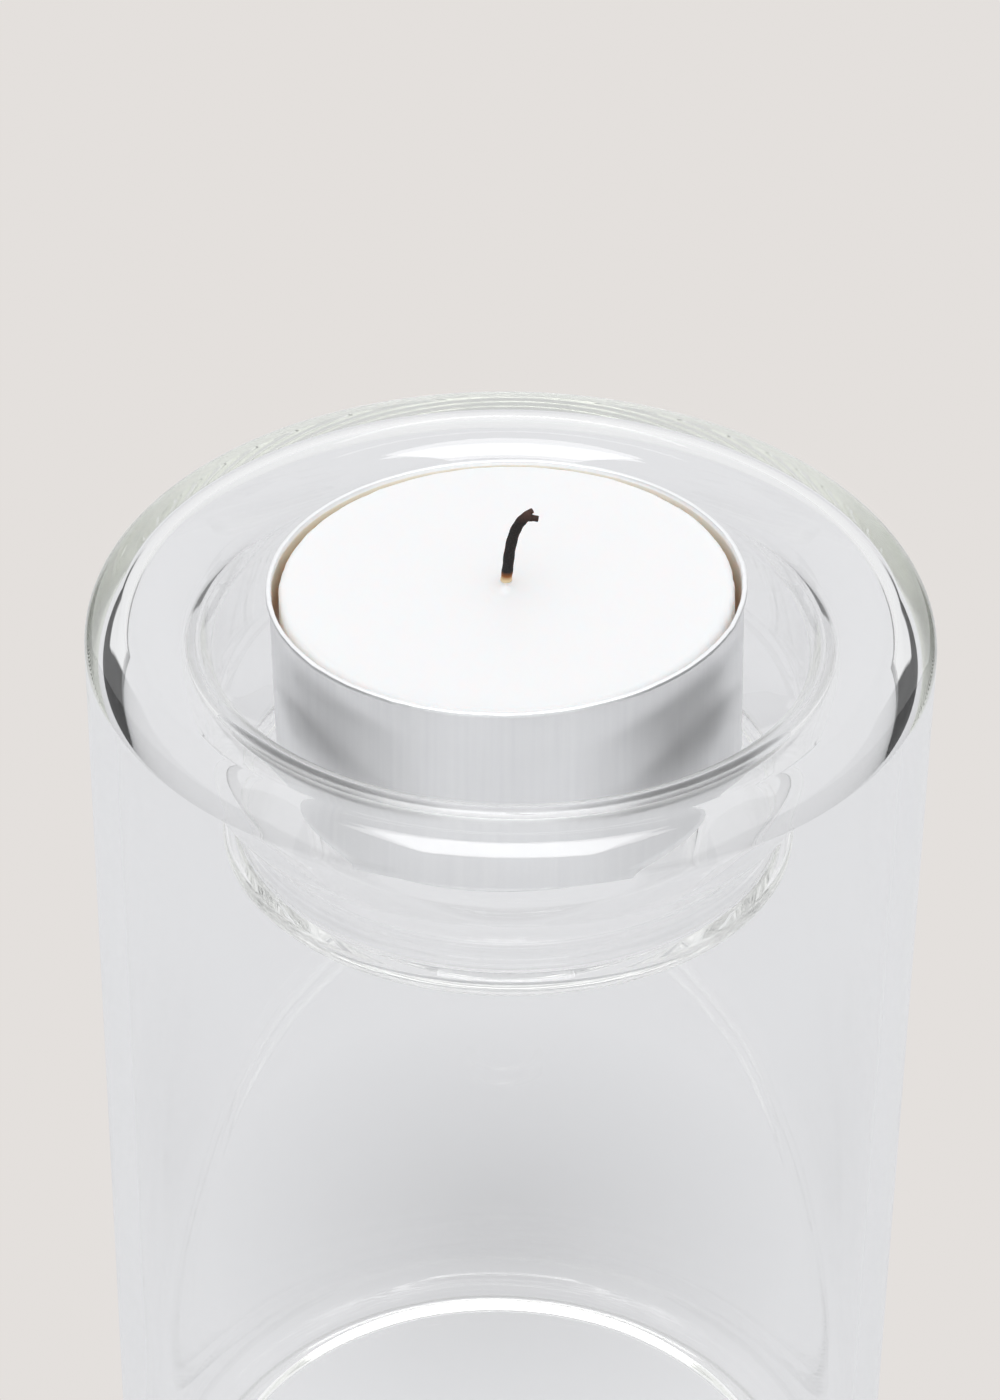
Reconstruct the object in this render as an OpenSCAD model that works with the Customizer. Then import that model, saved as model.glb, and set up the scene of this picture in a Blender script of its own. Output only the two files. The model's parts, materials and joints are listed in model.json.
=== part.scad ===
// Glass tealight holder: a hollow, sealed cylinder of clear glass whose top is folded inwards
// into a rounded lip and a waisted well. The middle of the well's floor is pushed up, and an
// aluminium tealight stands on it.
// The origin is the middle of the base, on the surface the glass stands on, and +Z is up.

/* [Glass] */
// Outer diameter of the glass
glass_d = 68; // [66:0.5:74]
// Height of the glass, from the foot to the crest of the lip
glass_h = 102; // [80:1:140]
// Thickness of the cylinder wall
wall = 2.2; // [2:0.1:2.4]
// Radius of the rounded outer edge at the top
shoulder_r = 3; // [2.8:0.1:3.4]
// Outer radius of the rounded edge round the base
base_corner_r = 4.5; // [4:0.5:6]
// Height of the pushed-up middle of the base above the foot
base_rise = 1.2; // [0.8:0.1:2]

/* [Lip and well] */
// Radius of the throat, where the lip turns down into the well
throat_r = 23.9; // [23.6:0.1:24.4]
// Depth of the throat below the crest
lip_drop = 4.4; // [4:0.1:5]
// Thickness of the glass in the lip
lip_t = 2; // [1.8:0.1:2.2]
// Radius of the waist, the narrowest place of the well
waist_r = 20.7; // [20.5:0.1:21]
// Depth of the waist below the crest
waist_depth = 18.3; // [18:0.1:18.5]
// Depth of the groove round the well's floor, below the waist
groove_drop = 2.1; // [2.1:0.1:2.5]
// Radius of the pushed-up middle of the well's floor, at its top
punt_r = 12.5; // [11.5:0.1:12.8]
// Depth of the top of the pushed-up middle below the crest
punt_depth = 14.2; // [14.2:0.1:15.5]

/* [Tealight] */
// Diameter of the aluminium cup, without its rim
cup_d = 37.8; // [37:0.1:38]
// Height of the aluminium cup
cup_h = 15.9; // [15:0.1:17]
// Thickness of the aluminium
cup_wall = 0.2; // [0.15:0.05:0.3]
// Lean of the tealight on its seat, about X
lean_x = -1.4; // [-1.5:0.1:1.5]
// Lean of the tealight on its seat, about Y
lean_y = -1.5; // [-1.5:0.1:1.5]

/* [Wick] */
// Diameter of the braided wick
wick_d = 1; // [0.8:0.1:1.2]
// Height of the upright part of the wick above the wax
wick_upright = 3.4; // [1:0.1:4]
// Radius of the bend at the top of the wick
wick_bend_r = 3; // [2:0.1:5]
// How far the wick bends over
wick_bend_angle = 80; // [30:1:95]
// Diameter of the tinplate disc that holds the wick up
sustainer_d = 12.5; // [10:0.5:16]
// Height of the disc's crimped neck
sustainer_neck_h = 3.2; // [2:0.1:5]

/* [Hidden] */

round_fn = 96;
// Straight steps that each rounded corner of an outline is drawn with
corner_steps = 7;
lip_steps = 12;

glass_r = glass_d / 2;
inner_r = glass_r - wall;

// Lip: a narrow flat crest between the shoulder and an elliptical roll into the throat
crest_flat = 0.2;
crest_r = glass_r - shoulder_r - crest_flat;
throat_z = glass_h - lip_drop;
sealed_corner_r = 2.1;
sealed_crest_r = inner_r - sealed_corner_r - 0.1;

// Well: throat, neck, waist and bulge, and a groove round the pushed-up middle
neck_r = throat_r + 0.3;
neck_z = glass_h - 11.8;
waist_z = glass_h - waist_depth;
bulge_r = waist_r + 1.7;
groove_r = bulge_r - 1.2;
groove_z = waist_z - groove_drop;
bulge_z = groove_z + 0.3;
punt_foot_r = punt_r + 3.3;
punt_z = glass_h - punt_depth;
punt_slope = 0.5;

// Thickness of the glass along the well
neck_t = 1.7;
waist_t = 0.9;
bulge_t = 1.6;
groove_t = 1.3;
punt_t = 1.4;

// Angle of the seam where the outline's turn begins and ends, away from every axis
seam_turn = 2;

// Base: a foot ring round a pushed-up middle with the small nib where the glass was sealed
foot_r = glass_r - base_corner_r - 1.2;
foot_slope = 2;
base_t = 2.2;
nib_r = 2.4;
nib_h = 0.7;
nib_slope = 0.9;

// Quarter of an ellipse from the crest at radius r down to the throat, moved into the glass by inset
function lip(r, inset) = [for (i = [0:lip_steps]) let (a = 90 + 90 * i / lip_steps)
    [r + (r - throat_r - inset) * cos(a), throat_z + (lip_drop - inset) * sin(a), 0]];

// Each outline is a list of [radius, height, fillet], from the axis outwards and up
open_side = concat([
    [0, base_rise - nib_h, 0],
    [nib_r, base_rise - nib_h, 0.5],
    [nib_r + nib_slope, base_rise, 0.5],
    [foot_r - foot_slope, base_rise, 1.5],
    [foot_r, 0, 1.5],
    [glass_r, 0, base_corner_r],
    [glass_r, glass_h, shoulder_r]
], lip(crest_r, 0), [
    [neck_r, neck_z, 5],
    [waist_r, waist_z, 1.6],
    [bulge_r, bulge_z, 0.6],
    [groove_r, groove_z, 0.6],
    [punt_foot_r, bulge_z, 1.2],
    [punt_r, punt_z - punt_slope, 1.2],
    [0, punt_z, 0]
]);
sealed_side = concat([
    [0, base_rise + base_t, 0],
    [foot_r - foot_slope, base_rise + base_t, 1.5],
    [foot_r, base_t, 1.5],
    [inner_r, base_t, base_corner_r - wall],
    [inner_r, glass_h - lip_t, sealed_corner_r]
], lip(sealed_crest_r, lip_t), [
    [neck_r + neck_t, neck_z - 0.2, 5],
    [waist_r + waist_t, waist_z - 0.1, 1.8],
    [bulge_r + bulge_t, groove_z - 0.2, 1],
    [groove_r + punt_t, groove_z - groove_t, 1.2],
    [punt_foot_r - 0.9, groove_z - 1.1, 1],
    [punt_r - 0.9, punt_z - punt_slope - punt_t, 1.2],
    [0, punt_z - punt_t, 0]
]);

// Tealight: the dished middle of its bottom rests on the pushed-up floor of the well
seat_gap = 0.1;
cup_r = cup_d / 2;
cup_corner_r = 1;
bead_r = 0.35;
emboss_r = 13;
emboss_h = 0.4;
emboss_slope = 0.6;
seat_z = punt_z + seat_gap - emboss_h;
cup_outside = [
    [0, emboss_h, 0],
    [emboss_r, emboss_h, 0.3],
    [emboss_r + emboss_slope, 0, 0.3],
    [cup_r, 0, cup_corner_r],
    [cup_r, cup_h - bead_r, 0]
];
cup_inside = [
    [0, emboss_h + cup_wall, 0],
    [emboss_r, emboss_h + cup_wall, 0.3],
    [emboss_r + emboss_slope, cup_wall, 0.3],
    [cup_r - cup_wall, cup_wall, cup_corner_r - cup_wall],
    [cup_r - cup_wall, cup_h - bead_r, 0]
];

// Wax: cast in one block round the sustainer, with a rounded upper edge
gap = 0.05;
wax_gap = 0.3;
wax_r = cup_r - cup_wall - wax_gap;
wax_low = emboss_h + cup_wall + gap;
wax_top = cup_h - 0.2;
wax_edge_r = 0.9;
wax_outline = [
    [0, wax_low, 0],
    [wax_r, wax_low, 0.8],
    [wax_r, wax_top, wax_edge_r],
    [0, wax_top, 0]
];

// Sustainer and wick
sustainer_t = 0.25;
neck_wall = 0.3;
wick_r = wick_d / 2;
sustainer_neck_r = wick_r + gap + neck_wall;
wick_low = wax_low + gap;
wick_bend_z = wax_top + wick_upright;
// The bend is drawn as short straight stretches with round ends
bend_steps = 4;
wick_path = concat([[0, wick_low + wick_r]], [for (i = [0:bend_steps]) let (a = wick_bend_angle * i / bend_steps)
    [wick_bend_r * (1 - cos(a)), wick_bend_z + wick_bend_r * sin(a)]]);

function unit(v) = v / norm(v);
function flat(p) = [p.x, p.y];

// Points along a rounded corner at b, between the straight stretches from a and to c
function corner(a, b, c, r) = let (
    u = unit(a - b),
    v = unit(c - b),
    half = acos(u * v) / 2,
    centre = b + unit(u + v) * r / sin(half),
    start = b + u * r / tan(half) - centre,
    finish = b + v * r / tan(half) - centre,
    first = atan2(start.y, start.x),
    turn = (atan2(finish.y, finish.x) - first + 540) % 360 - 180
) [for (i = [0:corner_steps]) let (t = first + turn * i / corner_steps) centre + r * [cos(t), sin(t)]];

// An outline with its corners rounded
function rounded(path) = [for (i = [0:len(path) - 1]) each path[i].z == 0
    ? [flat(path[i])]
    : corner(flat(path[i - 1]), flat(path[i]), flat(path[i + 1]), path[i].z)];

function backwards(path) = [for (i = [len(path) - 1:-1:0]) path[i]];

module turned(outline) {
    rotate_extrude($fn = round_fn)
        polygon(outline);
}

// Places a tealight piece on its seat, with its lean
module seated() {
    translate([0, 0, seat_z])
        rotate([lean_x, lean_y, 0])
            children();
}

module glass_holder() {
    color([0.86, 0.92, 0.9, 0.35])
        rotate([0, 0, seam_turn])
            difference() {
                turned(rounded(open_side));
                turned(rounded(sealed_side));
            }
}

module tealight_cup() {
    color([0.74, 0.76, 0.78])
        seated() {
            turned(concat(rounded(cup_outside), backwards(rounded(cup_inside))));
            rotate_extrude($fn = round_fn)
                translate([cup_r, cup_h - bead_r])
                    circle(r = bead_r, $fn = 24);
        }
}

module wax() {
    color([0.97, 0.96, 0.97])
        seated()
            difference() {
                turned(rounded(wax_outline));
                translate([0, 0, wax_low - 1])
                    cylinder(r = wick_r + gap, h = cup_h + 2, $fn = 32);
                translate([0, 0, wax_low - 1])
                    cylinder(r = sustainer_d / 2 + gap, h = 1 + sustainer_t + 2 * gap, $fn = 64);
                translate([0, 0, wax_low])
                    cylinder(r = sustainer_neck_r + gap, h = sustainer_neck_h + 2 * gap, $fn = 48);
            }
}

module wick() {
    color([0.12, 0.1, 0.09])
        seated()
            for (i = [0:len(wick_path) - 2])
                hull()
                    for (p = [wick_path[i], wick_path[i + 1]])
                        translate([p.x, 0, p.y])
                            sphere(r = wick_r, $fn = 14);
}

module wick_sustainer() {
    color([0.7, 0.69, 0.66])
        seated()
            translate([0, 0, wax_low])
                difference() {
                    union() {
                        cylinder(r = sustainer_d / 2, h = sustainer_t, $fn = 64);
                        cylinder(r = sustainer_neck_r, h = sustainer_neck_h, $fn = 48);
                    }
                    translate([0, 0, -1])
                        cylinder(r = wick_r + gap, h = sustainer_neck_h + 2, $fn = 32);
                }
}

glass_holder();
tealight_cup();
wax();
wick();
wick_sustainer();
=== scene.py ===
"""Looks for the glass tealight holder: a hollow blown glass with a tealight standing in its well.

Shapes are worked out in millimetres from the same driving sizes as the CAD model, and scaled to metres
when their meshes are made. Every round piece is an outline of [radius, height, fillet] turned round +Z.
"""

import json
import math

import bmesh
import bpy
from mathutils import Matrix, Vector, noise


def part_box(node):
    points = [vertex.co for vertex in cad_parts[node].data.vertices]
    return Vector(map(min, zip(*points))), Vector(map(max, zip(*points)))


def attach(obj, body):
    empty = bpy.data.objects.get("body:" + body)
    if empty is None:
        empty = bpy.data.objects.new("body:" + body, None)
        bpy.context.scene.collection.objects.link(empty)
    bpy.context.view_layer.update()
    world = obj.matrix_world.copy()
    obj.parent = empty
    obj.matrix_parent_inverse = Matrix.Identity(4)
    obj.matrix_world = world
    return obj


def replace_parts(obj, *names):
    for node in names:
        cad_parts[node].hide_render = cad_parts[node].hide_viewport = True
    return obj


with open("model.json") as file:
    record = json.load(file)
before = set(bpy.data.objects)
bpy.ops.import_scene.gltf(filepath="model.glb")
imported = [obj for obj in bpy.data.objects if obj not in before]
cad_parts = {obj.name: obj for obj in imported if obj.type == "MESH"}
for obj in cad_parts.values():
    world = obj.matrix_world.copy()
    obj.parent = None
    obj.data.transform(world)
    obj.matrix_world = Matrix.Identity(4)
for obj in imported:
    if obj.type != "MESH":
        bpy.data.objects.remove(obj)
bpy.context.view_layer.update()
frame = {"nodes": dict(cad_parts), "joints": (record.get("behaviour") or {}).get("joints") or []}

MM = 0.001

# ---------------------------------------------------------------- sizes, in millimetres

glass_low, glass_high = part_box("glass_holder")
GLASS_H = glass_high.z / MM
GLASS_R = (glass_high.x - glass_low.x) / 2 / MM
WALL = 2.2
INNER_R = GLASS_R - WALL

# Base: a foot ring round a pushed-up middle with the small nib where the glass was sealed
BASE_CORNER_R = 4.5
BASE_RISE = 1.2
BASE_T = 2.2
FOOT_R = GLASS_R - BASE_CORNER_R - 1.2
FOOT_SLOPE = 2
NIB_R = 2.4
NIB_H = 0.7
NIB_SLOPE = 0.9

# Lip: a narrow flat crest between the shoulder and an elliptical roll into the throat
SHOULDER_R = 3
CREST_FLAT = 0.2
CREST_R = GLASS_R - SHOULDER_R - CREST_FLAT
SEALED_CORNER_R = 2.1
SEALED_CREST_R = INNER_R - SEALED_CORNER_R - 0.1
THROAT_R = 23.9
LIP_DROP = 4.4
LIP_T = 2

# Well: neck, waist and bulge, and a groove round the pushed-up middle
NECK_R = THROAT_R + 0.3
NECK_Z = GLASS_H - 11.8
WAIST_R = 20.7
WAIST_Z = GLASS_H - 18.3
BULGE_R = WAIST_R + 1.7
GROOVE_R = BULGE_R - 1.2
GROOVE_Z = WAIST_Z - 2.1
BULGE_Z = GROOVE_Z + 0.3
PUNT_R = 12.5
PUNT_FOOT_R = PUNT_R + 3.3
PUNT_Z = GLASS_H - 14.2
PUNT_SLOPE = 0.5

# Thickness of the glass along the well
NECK_T = 1.7
WAIST_T = 0.9
BULGE_T = 1.6
GROOVE_T = 1.3
PUNT_T = 1.4
PUNT_SIDE_T = 0.9

CUP_R = 18.9
CUP_H = 15.9
CUP_WALL = 0.2
CUP_CORNER_R = 1
EMBOSS_R = 13
EMBOSS_H = 0.4
EMBOSS_SLOPE = 0.6
SEAT_Z = PUNT_Z + 0.1 - EMBOSS_H
# How far below the rim the cup's dents reach
DENTS_H = 3

WAX_R = CUP_R - CUP_WALL - 0.3
WAX_LOW = EMBOSS_H + CUP_WALL + 0.05
WAX_TOP = CUP_H - 0.2
# How far below its top the wax is out of round, and the height over which that grows
MELT_H = 6
MELT_FADE = 4
SUSTAINER_R = 6.25
SUSTAINER_T = 0.25

# Points round each turned piece, and the most degrees between two points of a rounded corner.
# The glass needs the most, because every facet shows in what is seen through it.
GLASS_STEPS, GLASS_CORNER_STEP = 320, 4
CUP_STEPS, CUP_CORNER_STEP = 256, 20
WAX_STEPS, WAX_CORNER_STEP = 192, 12
LIP_STEPS = 40

# The tealight leans on its seat the way its joint slides
lean = Vector((0, 0, 1)).rotation_difference(Vector(frame["joints"][0]["axis"])).to_matrix().to_4x4()
SEAT = Matrix.Translation((0, 0, SEAT_Z)) @ lean


# ---------------------------------------------------------------- shapes

def rounded(path, step):
    """Points on a path with its corners rounded, and the directions they face, to the right of the path.

    The path's own points are [radius, height, fillet]. A point on a curve has its direction instead of
    a fillet. No two points of a rounded corner are more than step degrees apart.
    """
    outline = []
    for i, (r, z, corner) in enumerate(path):
        here = Vector((r, z))
        before = (Vector(path[i - 1][:2]) - here).normalized() if i else Vector((-1, 0))
        right = Vector((-before.y, before.x))
        if isinstance(corner, Vector):
            outline.append((here, corner.normalized()))
            continue
        if not corner:
            outline.append((here, right))
            continue
        after = (Vector(path[i + 1][:2]) - here).normalized()
        half = before.angle(after) / 2
        centre = here + (before + after).normalized() * corner / math.sin(half)
        start = here + before * corner / math.tan(half) - centre
        end = here + after * corner / math.tan(half) - centre
        turn = start.angle_signed(end)
        count = max(3, math.ceil(math.degrees(abs(turn)) / step))
        side = math.copysign(1, start.dot(right))
        for k in range(count + 1):
            arm = Matrix.Rotation(-turn * k / count, 2) @ start
            outline.append((centre + arm, arm.normalized() * side))
    return outline


def turned(bm, outline, steps, shape=None):
    """Adds an outline turned round +Z to a bmesh. shape(point) may move each point, in millimetres.

    Gives back the directions its points face, in the order of the points.
    """
    rings = []
    facings = []
    for (r, z), (out, up) in outline:
        ring = []
        for k in range(steps if r > 1e-6 else 1):
            a = math.tau * k / steps
            p = Vector((r * math.cos(a), r * math.sin(a), z))
            ring.append(bm.verts.new((shape(p) if shape else p) * MM))
            facings.append(Vector((out * math.cos(a), out * math.sin(a), up)))
        rings.append(ring)
    for low, high in zip(rings, rings[1:]):
        for k in range(steps):
            n = (k + 1) % steps
            corners = [low[k % len(low)], low[n % len(low)], high[n % len(high)], high[k % len(high)]]
            bm.faces.new(list(dict.fromkeys(corners)))
    return facings


def piece(name, bm, *materials):
    """A smooth mesh object made from a bmesh."""
    mesh = bpy.data.meshes.new(name)
    bm.to_mesh(mesh)
    bm.free()
    mesh.shade_smooth()
    for m in materials:
        mesh.materials.append(m)
    obj = bpy.data.objects.new(name, mesh)
    bpy.context.scene.collection.objects.link(obj)
    return obj


# ---------------------------------------------------------------- materials

class Nodes:
    """A material's node tree, with short ways to add to it."""

    def __init__(self, name):
        self.material = bpy.data.materials.new(name)
        self.material.use_nodes = True
        self.tree = self.material.node_tree
        self.shader = self.tree.nodes["Principled BSDF"]
        self.place = self.add("ShaderNodeTexCoord").outputs["Object"]

    def add(self, kind, **values):
        node = self.tree.nodes.new(kind)
        for key, value in values.items():
            setattr(node, key, value)
        return node

    def link(self, a, b):
        self.tree.links.new(a, b)

    def set(self, **values):
        for key, value in values.items():
            self.shader.inputs[key.replace("_", " ")].default_value = value

    def noise(self, size, detail=2, stretch=(1, 1, 1)):
        """Noise whose lumps are about size millimetres across, times stretch."""
        mapping = self.add("ShaderNodeMapping")
        mapping.inputs["Scale"].default_value = [1 / (size * MM * s) for s in stretch]
        texture = self.add("ShaderNodeTexNoise")
        texture.inputs["Scale"].default_value = 1
        texture.inputs["Detail"].default_value = detail
        self.link(self.place, mapping.inputs["Vector"])
        self.link(mapping.outputs["Vector"], texture.inputs["Vector"])
        return texture.outputs["Fac"]

    def paint(self, name, colour):
        """Links a socket to the shader's input of that name."""
        self.link(colour, self.shader.inputs[name])

    def ramp(self, value, *stops):
        """A colour ramp through stops of (position, colour or grey)."""
        node = self.add("ShaderNodeValToRGB")
        elements = node.color_ramp.elements
        while len(elements) < len(stops):
            elements.new(1)
        for element, (position, colour) in zip(elements, stops):
            grey = isinstance(colour, (int, float))
            element.position = position
            element.color = (colour, colour, colour, 1) if grey else (*colour, 1)
        self.link(value, node.inputs["Fac"])
        return node.outputs["Color"]

    def height(self, low, high):
        """0 to 1 from low to high, in millimetres up the object."""
        split = self.add("ShaderNodeSeparateXYZ")
        scale = self.add("ShaderNodeMapRange")
        scale.inputs["From Min"].default_value = low * MM
        scale.inputs["From Max"].default_value = high * MM
        self.link(self.place, split.inputs[0])
        self.link(split.outputs["Z"], scale.inputs["Value"])
        return scale.outputs["Result"]

    def bump(self, value, depth):
        """Raises the surface by up to depth millimetres where value is 1."""
        node = self.add("ShaderNodeBump")
        node.inputs["Distance"].default_value = depth * MM
        self.link(value, node.inputs["Height"])
        if self.shader.inputs["Normal"].is_linked:
            self.link(self.shader.inputs["Normal"].links[0].from_socket, node.inputs["Normal"])
        self.link(node.outputs["Normal"], self.shader.inputs["Normal"])


def clear_glass():
    m = Nodes("clear_glass")
    m.set(Transmission_Weight=1, Roughness=0, IOR=1.47, Base_Color=(1, 1, 1, 1))
    m.bump(m.noise(14, detail=1), 0.02)
    tint = m.add("ShaderNodeVolumeAbsorption")
    tint.inputs["Color"].default_value = (0.45, 0.62, 0, 1)
    tint.inputs["Density"].default_value = 0.6
    m.link(tint.outputs["Volume"], m.tree.nodes["Material Output"].inputs["Volume"])
    return m.material


def drawn_aluminium():
    m = Nodes("cup_aluminium")
    m.set(Metallic=1)
    streaks = m.noise(0.5, detail=4, stretch=(1, 1, 40))
    clouds = m.noise(6, detail=3)
    m.paint("Base Color", m.ramp(streaks, (0.3, (0.92, 0.925, 0.935)), (0.7, (0.965, 0.97, 0.975))))
    m.paint("Roughness", m.ramp(clouds, (0.3, 0.3), (0.7, 0.42)))
    m.bump(streaks, 0.002)
    return m.material


def cup_inside():
    """Aluminium with the warm reflection of the lit wax painted on a few millimetres below the rim:
    painted shade, brown lower down and paler at the rim.
    """
    m = Nodes("cup_inside")
    m.set(Metallic=1, Roughness=0.3)
    # Painted reflection and shade: the brown and tan bands stand in for the wax's warm light seen in the
    # metal
    painted_wax_reflection = m.ramp(m.height(SEAT_Z + CUP_H - 10, SEAT_Z + CUP_H), (0.2, (0.88, 0.87, 0.85)),
                  (0.62, (0.74, 0.52, 0.3)), (0.82, (0.9, 0.84, 0.7)), (1, (0.93, 0.91, 0.87)))
    m.paint("Base Color", painted_wax_reflection)
    m.bump(m.noise(0.6, stretch=(1, 1, 20)), 0.01)
    return m.material


def white_wax():
    m = Nodes("white_wax")
    # The faint emission is painted light, brightening the wax as if it were lit more strongly
    m.set(Roughness=0.42, IOR=1.44, Subsurface_Weight=1, Subsurface_Scale=0.002,
          Subsurface_Radius=(1, 0.8, 0.75), Emission_Color=(1, 0.94, 0.97, 1), Emission_Strength=0.06)
    mottle = m.noise(5, detail=3)
    m.paint("Base Color", m.ramp(mottle, (0.3, (0.965, 0.945, 0.965)), (0.7, (0.985, 0.965, 0.98))))
    m.bump(m.noise(2.2, detail=4), 0.03)
    return m.material


def charred_cotton():
    """Cotton, pale with wax at its foot, singed brown just above, then black with specks of ash."""
    m = Nodes("charred_cotton")
    m.set(Roughness=0.9)
    low = SEAT_Z + WAX_TOP
    fibre = m.noise(0.12, detail=3)
    burnt = m.ramp(m.height(low, low + 7), (0, (0.85, 0.78, 0.62)), (0.06, (0.8, 0.62, 0.36)),
                   (0.11, (0.3, 0.1, 0.02)), (0.17, (0.008, 0.007, 0.007)),
                   (0.82, (0.01, 0.006, 0.005)), (0.95, (0.07, 0.03, 0.02)))
    ash = m.ramp(fibre, (0.45, 0), (0.8, (0.02, 0.018, 0.016)))
    mix = m.add("ShaderNodeMix", data_type="RGBA", blend_type="ADD")
    mix.inputs["Factor"].default_value = 1
    m.link(burnt, mix.inputs["A"])
    m.link(ash, mix.inputs["B"])
    m.paint("Base Color", mix.outputs["Result"])
    m.bump(fibre, 0.04)
    return m.material


def tinplate():
    m = Nodes("tinplate")
    m.set(Metallic=1)
    grain = m.noise(0.3, detail=3)
    m.paint("Base Color", m.ramp(grain, (0.3, (0.6, 0.59, 0.56)), (0.7, (0.72, 0.71, 0.68))))
    m.paint("Roughness", m.ramp(grain, (0.3, 0.25), (0.7, 0.4)))
    return m.material


# ---------------------------------------------------------------- glass

def lip(crest_r, inset):
    """A quarter of an ellipse from the crest down to the throat, moved into the glass by inset."""
    wide = crest_r - THROAT_R - inset
    high = LIP_DROP - inset
    turns = [math.radians(90 + 90 * i / LIP_STEPS) for i in range(LIP_STEPS + 1)]
    return [(crest_r + wide * math.cos(a), GLASS_H - LIP_DROP + high * math.sin(a),
             Vector((high * math.cos(a), wide * math.sin(a)))) for a in turns]


def glass():
    """The blown glass: its side open to the air, and the side of its sealed hollow."""
    open_side = [
        (0, BASE_RISE - NIB_H, 0),
        (NIB_R, BASE_RISE - NIB_H, 0.5),
        (NIB_R + NIB_SLOPE, BASE_RISE, 0.5),
        (FOOT_R - FOOT_SLOPE, BASE_RISE, 1.5),
        (FOOT_R, 0, 1.5),
        (GLASS_R, 0, BASE_CORNER_R),
        (GLASS_R, GLASS_H, SHOULDER_R),
        *lip(CREST_R, 0),
        (NECK_R, NECK_Z, 5),
        (WAIST_R, WAIST_Z, 1.6),
        (BULGE_R, BULGE_Z, 0.6),
        (GROOVE_R, GROOVE_Z, 0.6),
        (PUNT_FOOT_R, BULGE_Z, 1.2),
        (PUNT_R, PUNT_Z - PUNT_SLOPE, 1.2),
        (0, PUNT_Z, 0),
    ]
    sealed_side = [
        (0, BASE_RISE + BASE_T, 0),
        (FOOT_R - FOOT_SLOPE, BASE_RISE + BASE_T, 1.5),
        (FOOT_R, BASE_T, 1.5),
        (INNER_R, BASE_T, BASE_CORNER_R - WALL),
        (INNER_R, GLASS_H - LIP_T, SEALED_CORNER_R),
        *lip(SEALED_CREST_R, LIP_T),
        (NECK_R + NECK_T, NECK_Z - 0.2, 5),
        (WAIST_R + WAIST_T, WAIST_Z - 0.1, 1.8),
        (BULGE_R + BULGE_T, GROOVE_Z - 0.2, 1),
        (GROOVE_R + PUNT_T, GROOVE_Z - GROOVE_T, 1.2),
        (PUNT_FOOT_R - PUNT_SIDE_T, GROOVE_Z - 1.1, 1),
        (PUNT_R - PUNT_SIDE_T, PUNT_Z - PUNT_SLOPE - PUNT_T, 1.2),
        (0, PUNT_Z - PUNT_T, 0),
    ]
    bm = bmesh.new()
    facings = turned(bm, rounded(open_side, GLASS_CORNER_STEP), GLASS_STEPS)
    outside = len(bm.faces)
    facings += [-f for f in turned(bm, rounded(sealed_side, GLASS_CORNER_STEP), GLASS_STEPS)]
    bm.faces.ensure_lookup_table()
    bmesh.ops.reverse_faces(bm, faces=bm.faces[outside:])
    obj = piece("blown_glass", bm, clear_glass())
    obj.data.normals_split_custom_set_from_vertices(facings)
    # Light reaches the table and the wax as if the glass weren't there, since it blocks so little
    obj.visible_shadow = False
    obj.visible_diffuse = False
    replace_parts(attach(obj, "holder"), "glass_holder")


# ---------------------------------------------------------------- tealight

def dented(p):
    """The cup's thin rim, a little out of round, and lower where it is bent."""
    grip = max(0, (p.z - CUP_H + DENTS_H) / DENTS_H)
    bends = noise.noise(Vector((p.x, p.y, 0)) * 0.25)
    nicks = noise.noise(Vector((p.x, p.y, 9)) * 1.1)
    push = 0.05 * bends + 0.04 * nicks
    out = Vector((p.x, p.y, 0)).normalized()
    return SEAT @ (p + grip * (push * out - Vector((0, 0, abs(push) * 0.6))))


def cup():
    """The drawn cup: up its outside, over the rolled rim and down its inside."""
    inside_r = CUP_R - CUP_WALL
    outline = rounded([
        (0, EMBOSS_H, 0),
        (EMBOSS_R, EMBOSS_H, 0.3),
        (EMBOSS_R + EMBOSS_SLOPE, 0, 0.3),
        (CUP_R, 0, CUP_CORNER_R),
        (CUP_R, CUP_H - DENTS_H, 0),
        (CUP_R, CUP_H - 0.55, 0.1),
        (CUP_R + 0.27, CUP_H - 0.4, 0.12),
        (CUP_R + 0.25, CUP_H, 0.15),
        (CUP_R - 0.12, CUP_H, 0.1),
        (inside_r, CUP_H - 0.4, 0.2),
        (inside_r, CUP_H - DENTS_H, 0),
        (inside_r, CUP_WALL, CUP_CORNER_R - CUP_WALL),
        (EMBOSS_R + EMBOSS_SLOPE, CUP_WALL, 0.3),
        (EMBOSS_R, EMBOSS_H + CUP_WALL, 0.3),
        (0, EMBOSS_H + CUP_WALL, 0),
    ], CUP_CORNER_STEP)
    bm = bmesh.new()
    turned(bm, outline, CUP_STEPS, shape=dented)
    bm.faces.ensure_lookup_table()
    # Past the rim, the faces within the wall's inner radius have the second material
    top = max(range(len(outline)), key=lambda i: outline[i][0].y)
    for i in range(top + 1, len(outline) - 1):
        if outline[i][0].x < inside_r + 0.05:
            for face in bm.faces[i * CUP_STEPS:(i + 1) * CUP_STEPS]:
                face.material_index = 1
    obj = piece("drawn_cup", bm, drawn_aluminium(), cup_inside())
    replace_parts(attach(obj, "tealight"), "tealight_cup")


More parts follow.
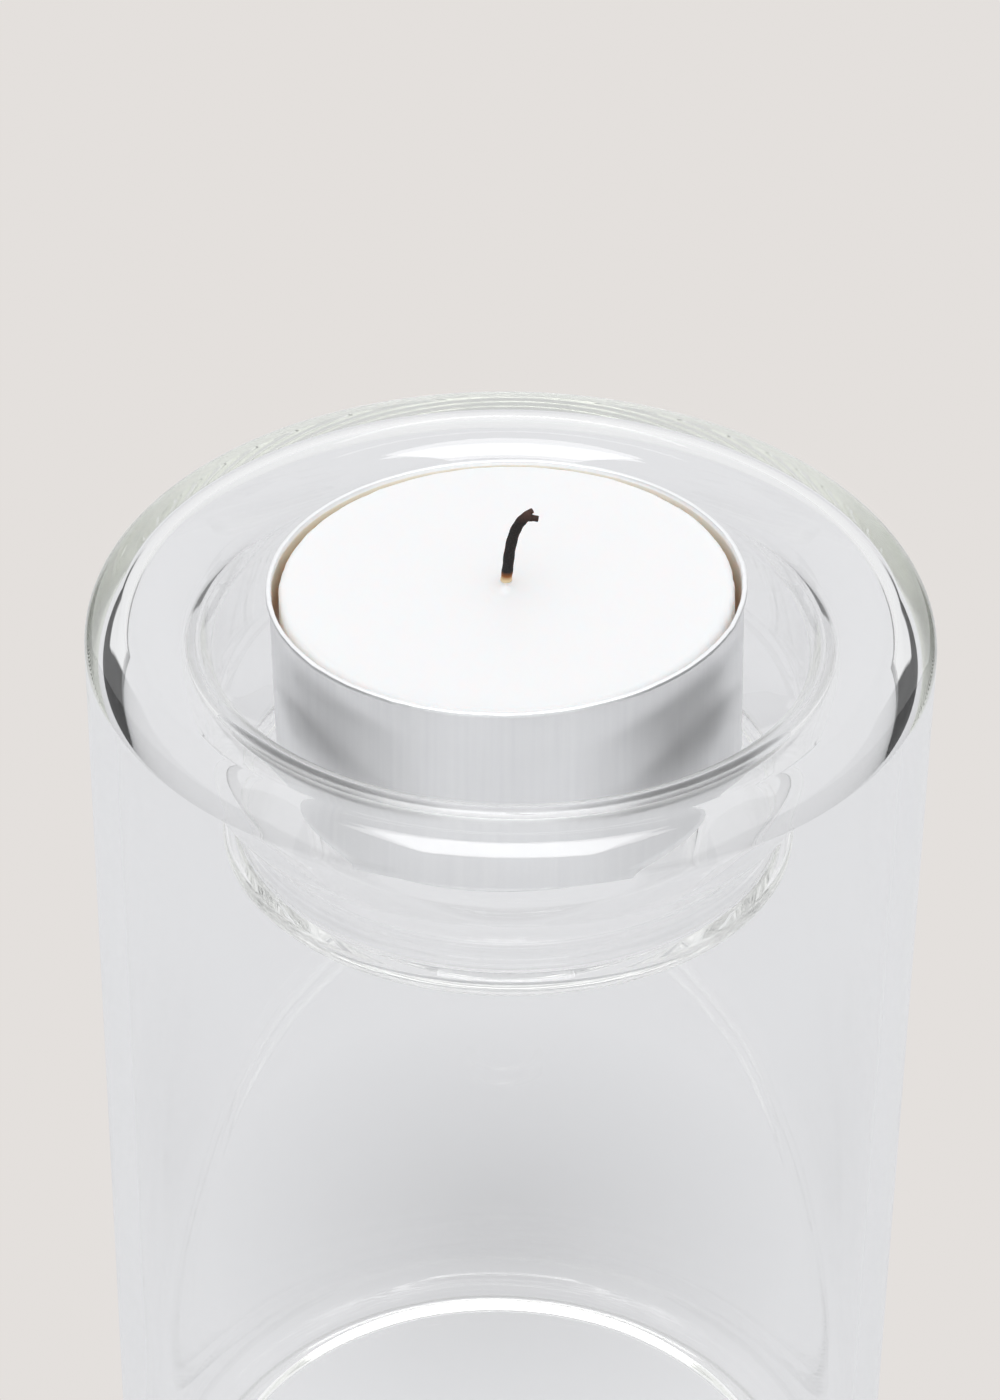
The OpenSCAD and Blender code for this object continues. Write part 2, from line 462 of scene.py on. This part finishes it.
def melted(p):
    """The wax, shrunk away from the cup at two sides, and risen a little at the wick."""
    r = math.hypot(p.x, p.y)
    if r > WAX_R / 2:
        upper = min(1, max(0, (p.z - WAX_TOP + MELT_H) / MELT_FADE))
        sideways = (p.x / r) ** 2
        waves = noise.noise(Vector((p.x, p.y, 3)) * 0.8)
        crumbs = noise.noise(Vector((p.x, p.y, 5)) * 3)
        scale = 1 + upper * (0.2 - 0.45 * sideways + 0.1 * waves + 0.05 * crumbs) / r
        p = Vector((p.x * scale, p.y * scale, p.z))
    elif p.z > WAX_TOP - 0.5:
        nub = 0.4 * math.exp(-((p.x + 0.1) ** 2 + (p.y + 1.2) ** 2) / 0.25)
        p = p + Vector((0, 0, 0.25 * math.exp(-(r / 0.9) ** 2) + nub))
    return SEAT @ p


def wax():
    """The block of wax, with a recess under it for the sustainer and close rings round the wick."""
    recess = WAX_LOW + SUSTAINER_T + 0.1
    recess_r = SUSTAINER_R + 0.05
    rings = (16, 12, 9, 6, 4, 3, 2.6, 2.3, 2, 1.75, 1.5, 1.25, 1, 0.75, 0.5, 0.25, 0)
    outline = [
        (0, recess, 0),
        (recess_r - 0.35, recess, 0),
        (recess_r, recess, 0.05),
        (recess_r, WAX_LOW, 0.05),
        (recess_r + 0.35, WAX_LOW, 0),
        (WAX_R, WAX_LOW, 0.8),
        (WAX_R, WAX_TOP - MELT_H, 0),
        (WAX_R, WAX_TOP - 2.5, 0),
        (WAX_R, WAX_TOP, 0.7),
        *[(r, WAX_TOP, 0) for r in rings],
    ]
    bm = bmesh.new()
    turned(bm, rounded(outline, WAX_CORNER_STEP), WAX_STEPS, shape=melted)
    obj = piece("wax_block", bm, white_wax())
    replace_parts(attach(obj, "candle"), "wax")


def smooth_path(points):
    """Points along a curve that passes through all the given ones, 10 for each."""
    per_span = 10
    ends = [2 * points[0] - points[1], *points, 2 * points[-1] - points[-2]]
    path = []
    for a, b, c, d in zip(ends, ends[1:], ends[2:], ends[3:]):
        for k in range(per_span):
            t = k / per_span
            path.append((2 * b + (c - a) * t + (2 * a - 5 * b + 4 * c - d) * t * t
                         + (3 * b - a - 3 * c + d) * t ** 3) / 2)
    return [*path, points[-1]]


def braid(bm, path, radius):
    """Sweeps a braided round section along a path, closed at both ends.

    radius(t) is its radius, where t runs from 0 to 1 along the path.
    """
    sides = 24
    rings = []
    side = Vector((0, 1, 0))
    for i, p in enumerate(path):
        along = (path[min(i + 1, len(path) - 1)] - path[max(i - 1, 0)]).normalized()
        across = along.cross(side).normalized()
        ring = []
        for k in range(sides):
            a = math.tau * k / sides
            plait = 0.5 + 0.5 * math.cos(3 * a + i * 0.35) * math.cos(3 * a - i * 0.35)
            reach = radius(i / (len(path) - 1)) * (0.9 + 0.14 * plait)
            arm = (across * math.cos(a) + side * math.sin(a)) * reach
            ring.append(bm.verts.new((SEAT @ (p + arm)) * MM))
        rings.append(ring)
    for low, high in zip(rings, rings[1:]):
        for k in range(sides):
            n = (k + 1) % sides
            bm.faces.new((low[k], low[n], high[n], high[k]))
    bm.faces.new(rings[0][::-1])
    bm.faces.new(rings[-1])


def strand(bm, points, radius):
    """Adds one braided strand through points that are measured from where the wick leaves the wax."""
    foot = Vector((0, 0, WAX_TOP))
    braid(bm, smooth_path([foot + Vector(p) for p in points]), radius)


def wick():
    """The wick, bent over and frayed into two ends at its tip."""
    bm = bmesh.new()
    strand(bm, ((0, 0, 0.75 - WAX_TOP), (0, 0, -1), (0, 0, 0.3), (0.14, 0, 1.5), (0.32, 0, 3),
                (0.66, 0, 4.5), (1.12, 0, 5.5), (1.65, 0, 6.1), (2.1, 0, 6.25)),
           lambda t: 0.46 - 0.04 * t)
    strand(bm, ((1.25, 0.05, 5.75), (1.7, 0.1, 6.3), (2.15, 0.12, 6.6)), lambda t: 0.3 - 0.08 * t)
    strand(bm, ((1.5, -0.05, 6), (2.1, -0.1, 6.05), (2.6, -0.1, 5.95)), lambda t: 0.33 - 0.08 * t)
    bmesh.ops.recalc_face_normals(bm, faces=bm.faces)
    obj = piece("burnt_wick", bm, charred_cotton())
    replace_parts(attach(obj, "candle"), "wick")


# ---------------------------------------------------------------- studio

# The wall and the table as the camera sees them
BACKDROP = (0.775, 0.745, 0.722, 1)


def camera():
    """Looks down on the tealight from the front, as far away as a short telephoto lens needs.

    Its angles are in radians, and its height is above the top of the glass.
    """
    pitch, yaw, roll = 0.609605, -0.002685, 0.012601
    distance, above = 0.29775, 0.198
    forward = Vector((math.sin(yaw) * math.cos(pitch), math.cos(yaw) * math.cos(pitch), -math.sin(pitch)))
    level = Vector((math.cos(yaw), -math.sin(yaw), 0))
    up = level.cross(forward)
    right = math.cos(roll) * level + math.sin(roll) * up
    top = -math.sin(roll) * level + math.cos(roll) * up
    place = Matrix((right, top, -forward)).transposed().to_4x4()
    place.translation = (0, -distance, GLASS_H * MM + above)
    lens = bpy.data.cameras.new("camera")
    lens.lens = 115.53
    lens.clip_start = 0.01
    obj = bpy.data.objects.new("camera", lens)
    obj.matrix_world = place
    bpy.context.scene.collection.objects.link(obj)
    bpy.context.scene.camera = obj


def math_node(tree, kind, *values):
    """The output of a math node. Each value is a number or a socket."""
    node = tree.nodes.new("ShaderNodeMath")
    node.operation = kind
    for socket, value in zip(node.inputs, values):
        if isinstance(value, (int, float)):
            socket.default_value = value
        else:
            tree.links.new(value, socket)
    return node.outputs[0]


def two_looks(tree, seen, lit, output):
    """Shows one shader to the camera, and another through glass, in reflections and as light."""
    mix = tree.nodes.new("ShaderNodeMixShader")
    path = tree.nodes.new("ShaderNodeLightPath")
    tree.links.new(path.outputs["Is Camera Ray"], mix.inputs[0])
    tree.links.new(lit, mix.inputs[1])
    tree.links.new(seen, mix.inputs[2])
    tree.links.new(mix.outputs[0], output)


def studio():
    """An even white tent, brighter overhead. Low down on both sides, beyond the table, the room is dark.

    The sums use the direction that a ray leaves in: x is sideways and z is up. The dark sides begin at
    side_x. Their upper edge climbs between two values of x, from below the level to well above it.
    """
    side_x = 0.42
    climb = {"From Min": 0.7, "From Max": 0.86, "To Min": -0.13, "To Max": 0.28}
    side_blur, top_blur = 1 / 20, 1 / 30
    darkness = 0.94
    level_light, light_per_z = 0.83, 0.27
    tint = (0.985, 0.99, 1)

    world = bpy.data.worlds.new("studio")
    world.use_nodes = True
    bpy.context.scene.world = world
    tree = world.node_tree
    tree.nodes.clear()
    around = tree.nodes.new("ShaderNodeTexCoord").outputs["Generated"]
    split = tree.nodes.new("ShaderNodeSeparateXYZ")
    tree.links.new(around, split.inputs[0])
    x, _, z = split.outputs
    beside = math_node(tree, "ABSOLUTE", x)
    edge = tree.nodes.new("ShaderNodeMapRange")
    for name, value in climb.items():
        edge.inputs[name].default_value = value
    tree.links.new(beside, edge.inputs["Value"])
    under = math_node(tree, "SUBTRACT", edge.outputs["Result"], z)
    low = math_node(tree, "MULTIPLY_ADD", under, 1 / top_blur, 0.5)
    side = math_node(tree, "MULTIPLY_ADD", beside, 1 / side_blur, -side_x / side_blur)
    dark = math_node(tree, "MINIMUM", low, side)
    dark.node.use_clamp = True
    tent = math_node(tree, "MULTIPLY_ADD", z, light_per_z, level_light)
    light = math_node(tree, "MULTIPLY", math_node(tree, "MULTIPLY_ADD", dark, -darkness, 1), tent)
    colour = tree.nodes.new("ShaderNodeCombineColor")
    for socket, share in zip(colour.inputs, tint):
        tree.links.new(math_node(tree, "MULTIPLY", light, share), socket)
    lit = tree.nodes.new("ShaderNodeBackground")
    tree.links.new(colour.outputs[0], lit.inputs["Color"])
    seen = tree.nodes.new("ShaderNodeBackground")
    seen.inputs["Color"].default_value = BACKDROP
    output = tree.nodes.new("ShaderNodeOutputWorld")
    two_looks(tree, seen.outputs[0], lit.outputs[0], output.inputs["Surface"])


def floor():
    """A narrow white board, with a soft shadow painted into its colour close behind the glass's foot.

    The shadow is a round patch as wide as the glass, moved back by shadow_back times its radius.
    """
    half_width, half_depth = 0.16, 0.55
    shadow_r = 0.034
    shadow_back = 1.25
    bm = bmesh.new()
    bmesh.ops.create_grid(bm, x_segments=8, y_segments=28, size=1)
    bmesh.ops.scale(bm, verts=bm.verts, vec=(half_width, half_depth, 1))
    m = Nodes("floor")
    m.set(Roughness=0.8, Specular_IOR_Level=0.1)
    place = m.add("ShaderNodeMapping")
    place.inputs["Location"].default_value = (0, -shadow_back, 0)
    place.inputs["Scale"].default_value = (1 / shadow_r, 1 / shadow_r, 1)
    shadow = m.add("ShaderNodeTexGradient", gradient_type="SPHERICAL")
    m.link(m.place, place.inputs["Vector"])
    m.link(place.outputs["Vector"], shadow.inputs["Vector"])
    paper = m.ramp(m.noise(40), (0.3, (0.76, 0.76, 0.77)), (0.7, (0.77, 0.77, 0.78)))
    mix = m.add("ShaderNodeMix", data_type="RGBA", blend_type="MULTIPLY")
    mix.inputs["Factor"].default_value = 1
    m.link(paper, mix.inputs["A"])
    # Painted shadow: the board's colour is darkened in the round patch behind the foot
    m.link(m.ramp(shadow.outputs["Fac"], (0, 1), (0.9, 0.79)), mix.inputs["B"])
    m.paint("Base Color", mix.outputs["Result"])
    seen = m.add("ShaderNodeEmission")
    seen.inputs["Color"].default_value = BACKDROP
    surface = m.tree.nodes["Material Output"].inputs["Surface"]
    two_looks(m.tree, seen.outputs[0], m.shader.outputs[0], surface)
    obj = piece("floor", bm, m.material)


def softbox(name, power, size, place, target=(0, 0, 0.09)):
    """A rectangular light of so many watts, that shows only in the glass, the metal and the wax's gloss.

    The world gives nearly all the light, and these give the bright lines and the highlights.
    """
    light = bpy.data.lights.new(name, "AREA")
    light.shape = "RECTANGLE"
    light.energy = power
    light.size, light.size_y = size
    obj = bpy.data.objects.new(name, light)
    obj.location = place
    obj.rotation_euler = (Vector(target) - Vector(place)).to_track_quat("-Z", "Y").to_euler()
    obj.visible_camera = False
    obj.visible_diffuse = False
    bpy.context.scene.collection.objects.link(obj)


camera()
studio()
floor()
softbox("overhead", 5.5, (0.65, 0.65), (0, -0.33, 0.9), target=(0, -0.33, 0))
softbox("strip", 0.06, (0.3, 0.03), (0, 0.5, 0.9))
glass()
cup()
wax()
wick()
sustainer = frame["nodes"]["wick_sustainer"].data
sustainer.materials.clear()
sustainer.materials.append(tinplate())

# Light has to get through every wall of the glass and bounce about inside it
BOUNCES = 96
scene = bpy.context.scene
scene.view_settings.view_transform = "Standard"
scene.cycles.max_bounces = BOUNCES
scene.cycles.transmission_bounces = BOUNCES
scene.cycles.glossy_bounces = BOUNCES
